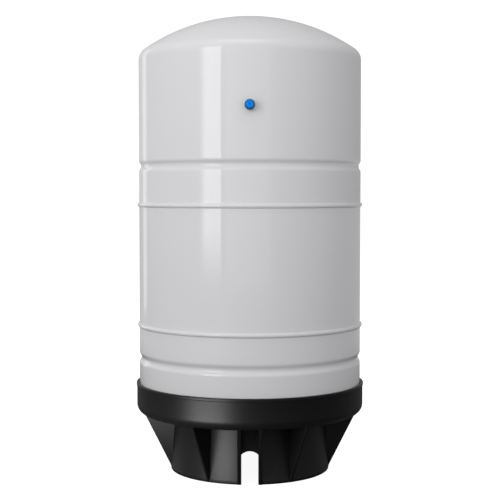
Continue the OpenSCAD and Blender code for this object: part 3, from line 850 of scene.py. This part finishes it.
class VESSEL_OT_stand(bpy.types.Operator):
    """Moulds the stand: cup, core wall, ribs and pipe slot"""
    bl_idname = "vessel.stand"
    bl_label = "Stand"

    def execute(self, context):
        stand, shell = context.scene.vessel_stand, context.scene.vessel_shell
        body = turned("stand_moulding", self.section(), steps=192)
        combine(body, self.slot_cutter(stand), "DIFFERENCE")
        parts = self.outer_ribs(stand) + self.seat_ribs(stand, shell)
        combine(body, joined("rib_set", parts), "UNION")
        edit(body)
        tidy_mesh(body)
        soften(body, math.radians(28))
        dress(body, "black_plastic", "root", "stand")
        self.light_only(body)
        return {"FINISHED"}

    def light_only(self, body):
        """Keeps the low kicker's light to the stand."""
        lit = bpy.data.collections.new("KickerLights")
        lit.objects.link(body)
        bpy.data.objects["LowKicker"].light_linking.receiver_collection = lit

    def section(self):
        """Half section of the cup and the core wall."""
        mm = [(135.1, 0), (138.7, 0)] + arc(138.7, 1.5, 1.5, -90, 0, 4, 1) + [(140.2, 4.4)]
        mm += arc(139.6, 4.4, 0.6, 0, 90, 3, 1) + [(139.25, 5.6)]
        mm += arc(135.75, 90.2, 2.6, 184, 100, 5)
        mm += arc(183.9, 117, 16, -80, 0, 18)
        mm += [(199.9, 149.1)]
        mm += [(200.1, 149.8), (200.5, 150.1)] + arc(200.3, 150.6, 0.5, -60, 0, 2, 1)
        mm += arc(199.8, 154, 1, 0, 90, 5)
        mm += [(196.1, 155)] + arc(196.1, 154.5, 0.5, 90, 180, 3, 1)
        mm += arc(183.9, 117, 11.7, 0, -80, 14)
        mm += [(133.25, 96.5), (128.5, 94.4)]
        return [(r * MM, z * MM) for r, z in mm]

    def slot_cutter(self, stand):
        half, side, rise = stand.slot_half, stand.slot_side, stand.slot_rise
        arch = (half * half + rise * rise) / (2 * rise)
        lean = math.degrees(math.asin(half / arch))
        points = [(-half, -0.001), (half, -0.001)]
        points += arc(0, side + rise - arch, arch, 90 - lean, 90 + lean, 14)
        cutter = plate("slot_cutter", points, 0.04)
        return placed(cutter, location=(0, -0.128, 0))

    def outer_ribs(self, stand):
        mm = [(136.1, 0), (140.2, 0), (142.2, 5), (193.9, 107.2), (184, 103.2), (131.2, 93.6)]
        points = [(r * MM, z * MM) for r, z in mm]
        first = plate("rib", points, stand.rib, stand.soft_edge)
        parts = []
        for i in range(stand.ribs):
            turn = math.radians(-90 + 180 / stand.ribs + i * 360 / stand.ribs)
            parts.append(placed(copied(first, f"rib_{i}"), rotation=(0, 0, turn)))
        bpy.data.objects.remove(first)
        jamb = plate("jamb", points, stand.jamb, stand.soft_edge)
        offset = stand.slot_half + 0.0004 + stand.jamb / 2
        for side in (-1, 1):
            parts.append(placed(copied(jamb, f"jamb_{side + 1}"), (side * offset, 0, 0),
                                (0, 0, -math.pi / 2)))
        bpy.data.objects.remove(jamb)
        return parts

    def seat_ribs(self, stand, shell):
        """Ribs inside the cup that carry the bottom head."""
        side, angle, rise = head_sizes(shell)
        centre, gap = bottom_centre(shell), 0.00025
        reach = shell.crown + gap
        first = math.degrees(math.asin(0.1345 / reach))
        points = [(0.1345, 0.0947)] + arc(0, centre, reach, first - 90, angle - 90, 10)
        points += arc(side, centre - rise, shell.knuckle + gap, angle - 90, -8, 6, 1)
        points += [(0.1974, points[-1][1])]
        points += arc(0.1839, 0.117, 0.0138, 0, -80, 8)
        rib = plate("seat_rib", points, 0.003)
        parts = []
        for i in range(stand.seat_ribs):
            turn = math.radians(-90 + (i + 0.5) * 360 / stand.seat_ribs)
            parts.append(placed(copied(rib, f"seat_{i}"), rotation=(0, 0, turn)))
        bpy.data.objects.remove(rib)
        return parts


class VESSEL_OT_cap(bpy.types.Operator):
    """Moulds the valve cap with its grip and its ringed face"""
    bl_idname = "vessel.cap"
    bl_label = "Valve cap"

    def execute(self, context):
        valve = context.scene.vessel_valve
        mm = [(0, 15.15), (3.9, 15.15), (3.9, 5.85), (6.7, 5.85), (6.7, 1.0), (6.9, 0.8),
              (8.2, 0.8), (8.5, 1.1), (8.5, 2.7), (8.5, 2.85), (8.5, 9)]
        # the domed shoulder, the raised ring and the dimple inside it
        wide, tall = 4.6, 3.6
        mm += [(3.9 + wide * math.cos(a), 13.3 + tall * math.sin(a))
               for a in (math.radians(d) for d in range(0, 81, 5))]
        mm += [(4.4, 16.75), (4.1, 16.5), (3.8, 16.5)] + arc(3.0, 16.45, 0.7, 20, 160, 10)
        mm += [(2.1, 16.3), (1.8, 15.8), (1.3, 15.55), (0, 15.5)]
        cap = turned("cap_moulding", [(r * MM, z * MM) for r, z in mm], closed=False, steps=320)
        outer, small = valve.cap_r, valve.groove
        centre = outer + small / 2
        pitch = 2 * math.pi / valve.grips
        # the grip grooves, from the skirt's plain band up to the end
        band_top = 0.0028
        for v in cap.data.vertices:
            reach = math.hypot(v.co.x, v.co.y)
            if reach < outer * 0.85 or v.co.z < band_top:
                continue
            turn = math.atan2(v.co.y, v.co.x)
            lean = (turn + pitch / 2) % pitch - pitch / 2
            across = centre * math.sin(lean)
            if abs(across) < small:
                limit = centre * math.cos(lean) - math.sqrt(small ** 2 - across ** 2)
                if reach > limit:
                    at_reach(v, limit)
        on_valve(cap)
        soften(cap, math.radians(40))
        dress(cap, "cap_plastic", "cap", "valve_cap")
        return {"FINISHED"}


class VESSEL_OT_stem(bpy.types.Operator):
    """Turns the valve stem with its threaded nose, and winds the core spring"""
    bl_idname = "vessel.stem"
    bl_label = "Valve stem and spring"

    def execute(self, context):
        valve = context.scene.vessel_valve
        crest, root = 0.00385, 0.00345
        mm = [(1.9, -5), (3.8, -5), (4.0, -4.8), (4.0, 3.75), (5.6, 3.75), (5.8, 3.95),
              (5.8, 5.05), (5.6, 5.25), (3.45, 5.25), (3.45, 13.6), (3.05, 14.05),
              (2.8, 14.05), (2.6, 13.85), (2.6, 4.5), (1.9, 4.5)]
        stem = turned("stem_turning", [(r * MM, z * MM) for r, z in mm], steps=96)
        ridge = thread("nose_thread", crest, root, low=0.0058, turns=9, pitch=valve.pitch,
                       steps=48, sink=0.0003)
        combine(stem, ridge, "UNION")
        on_valve(stem)
        soften(stem)
        dress(stem, "brass", "root", "valve_stem")
        low, high, wire, turns = 0.00535, 0.0107, 0.00015, 6
        section = arc(0.0012, low, wire, 0, 330, 11)
        spring = coil("spring_winding", section, (high - low) / turns, turns, 32)
        on_valve(spring)
        soften(spring)
        dress(spring, "spring_steel", "root", "core_spring")
        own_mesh(spring)
        return {"FINISHED"}


class VESSEL_OT_inlet(bpy.types.Operator):
    """Turns the threaded water inlet and its lock nut"""
    bl_idname = "vessel.inlet"
    bl_label = "Water inlet"

    def execute(self, context):
        water = context.scene.vessel_water
        crest = water.thread_r
        root = crest - 0.64 * water.pitch
        r, c = root / MM, crest / MM
        mm = [(12.5, 36.6), (13.1, 36.0), (14.6, 36.0), (r, 36.6), (r, 66.6), (c, 67.6),
              (c, 76.6), (26.4, 76.6), (27, 77.2), (27, 79.4), (25.8, 80.6), (13.3, 80.6),
              (12.5, 79.8)]
        inlet = turned("inlet_turning", [(a * MM, b * MM) for a, b in mm], steps=128)
        # the pipe's thread and the lock nut's, with the relief groove between them
        for low, turns in ((0.0382, 7), (0.0588, 3)):
            ridge = thread("inlet_thread", crest, root, low, turns, water.pitch, steps=64,
                           sink=0.0004)
            combine(inlet, ridge, "UNION")
        soften(inlet)
        dress(inlet, "stainless", "root", "water_inlet")
        half, bore = water.across / 2 / MM, 16.725
        mm = [(bore + 0.8, 58), (half - 0.4, 58), (half + 3.7, 60.1), (half + 3.7, 65.9),
              (half - 0.4, 68), (bore + 0.8, 68), (bore, 67.2), (bore, 58.8)]
        nut = turned("lock_nut", [(a * MM, b * MM) for a, b in mm], steps=96)
        deselect()
        bpy.ops.mesh.primitive_cylinder_add(vertices=6, radius=half * MM / math.cos(math.pi / 6),
                                            depth=0.012, location=(0, 0, 0.063))
        combine(nut, placed(bpy.context.object, (0, 0, 0.063)), "INTERSECT")
        soften(nut, math.radians(25))
        dress(nut, "stainless", "root", "inlet_lock_nut")
        return {"FINISHED"}


class VESSEL_OT_diaphragm(bpy.types.Operator):
    """Moulds the butyl diaphragm and its centre pad, which moves with the diaphragm's centre"""
    bl_idname = "vessel.diaphragm"
    bl_label = "Diaphragm"

    def execute(self, context):
        shell = context.scene.vessel_shell
        clench = LOWER_SEAM_Z - shell.groove_drop
        half = shell.groove_half + 0.001
        # wall, then the distances in from the shell's outside at the rim and at the bag
        thick, rim, bag = 0.0022, 0.0021, 0.0056
        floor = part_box("diaphragm")[0].z
        rim_low, rim_high = clench - half, clench + half + 0.0002
        outer = [(0, floor)] + bottom_head(shell, bag, floor)
        outer += [(SHELL_R - bag, rim_low - 0.005), (SHELL_R - rim, rim_low)]
        outer += groove(shell, clench, rim) + [(SHELL_R - rim, rim_high + 0.004)]
        lip = [(SHELL_R - rim - 0.0046, rim_high + 0.004), (SHELL_R - rim - 0.0046, rim_high),
               (SHELL_R - rim - thick, rim_high)]
        inner = groove(shell, clench, rim + thick)[::-1]
        inner += [(SHELL_R - rim - thick, rim_low - 0.0006),
                  (SHELL_R - bag - thick, rim_low - 0.0056)]
        inner += bottom_head(shell, bag + thick, floor + thick)[::-1] + [(0, floor + thick)]
        skin = turned("diaphragm_moulding", filled_in(outer + lip + inner, 0.006), closed=False,
                      steps=128)
        dress(skin, "butyl", None, "diaphragm")
        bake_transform(skin)
        low, high = (v.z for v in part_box("diaphragm_pad"))
        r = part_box("diaphragm_pad")[1].x
        pad = turned("pad_moulding", [(0, low + 0.0004), (0.006, low + 0.0004), (0.0065, low),
                     (r - 0.004, low)] + arc(r - 0.001, low + 0.001, 0.001, -90, 0, 4, 1)
                     + [(r, high - 0.0002), (r - 0.0002, high), (0, high)], closed=False,
                     steps=96)
        dress(pad, "butyl", "diaphragm_centre", "diaphragm_pad")
        return {"FINISHED"}


class VESSEL_OT_finishes(bpy.types.Operator):
    """Makes every finish and gives the carried-over nodes theirs"""
    bl_idname = "vessel.finishes"
    bl_label = "Finishes"

    def execute(self, context):
        scene = context.scene
        make_finishes((scene.vessel_shell, scene.vessel_stand, scene.vessel_valve,
                       scene.vessel_water))
        wears = {"clench_ring": "zinc", "water_liner": "liner_plastic",
                 "inlet_seal": "seal_rubber", "inlet_washer": "nylon", "valve_boss": "enamel",
                 "valve_stem_seal": "seal_rubber", "valve_core": "brass", "core_pin": "brass",
                 "core_seat_washer": "seal_rubber", "cap_seal": "seal_rubber"}
        for name, slot_name in wears.items():
            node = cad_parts[name]
            node.data.materials.clear()
            node.data.materials.append(FINISHES[slot_name])
            soften(node)
        return {"FINISHED"}


class VESSEL_PT_panel(bpy.types.Panel):
    """Lists the steps and the sizes in the sidebar"""
    bl_idname = "VESSEL_PT_panel"
    bl_label = "Pressure Vessel"
    bl_space_type = "VIEW_3D"
    bl_region_type = "UI"
    bl_category = "Vessel"

    def draw(self, context):
        layout = self.layout
        for step in STEPS:
            layout.operator(step.bl_idname)
        for name in SETTINGS:
            box = layout.box()
            settings = getattr(context.scene, name)
            for key in settings.bl_rna.properties.keys():
                if key not in {"rna_type", "name"}:
                    box.prop(settings, key)


STEPS = (VESSEL_OT_stage, VESSEL_OT_finishes, VESSEL_OT_shells, VESSEL_OT_welds,
         VESSEL_OT_stand, VESSEL_OT_cap, VESSEL_OT_stem, VESSEL_OT_inlet,
         VESSEL_OT_diaphragm)
SETTINGS = {"vessel_stage": VESSEL_PG_stage, "vessel_shell": VESSEL_PG_shell,
            "vessel_stand": VESSEL_PG_stand, "vessel_valve": VESSEL_PG_valve,
            "vessel_water": VESSEL_PG_water}


def register():
    for group_class in SETTINGS.values():
        bpy.utils.register_class(group_class)
    for name, group_class in SETTINGS.items():
        setattr(bpy.types.Scene, name, PointerProperty(type=group_class))
    for step in STEPS:
        bpy.utils.register_class(step)
    bpy.utils.register_class(VESSEL_PT_panel)


def unregister():
    bpy.utils.unregister_class(VESSEL_PT_panel)
    for step in reversed(STEPS):
        bpy.utils.unregister_class(step)
    for name, group_class in SETTINGS.items():
        delattr(bpy.types.Scene, name)
        bpy.utils.unregister_class(group_class)


def main():
    register()
    for step in STEPS:
        space, name = step.bl_idname.split(".")
        getattr(getattr(bpy.ops, space), name)()
    deselect()


if __name__ == "__main__":
    main()
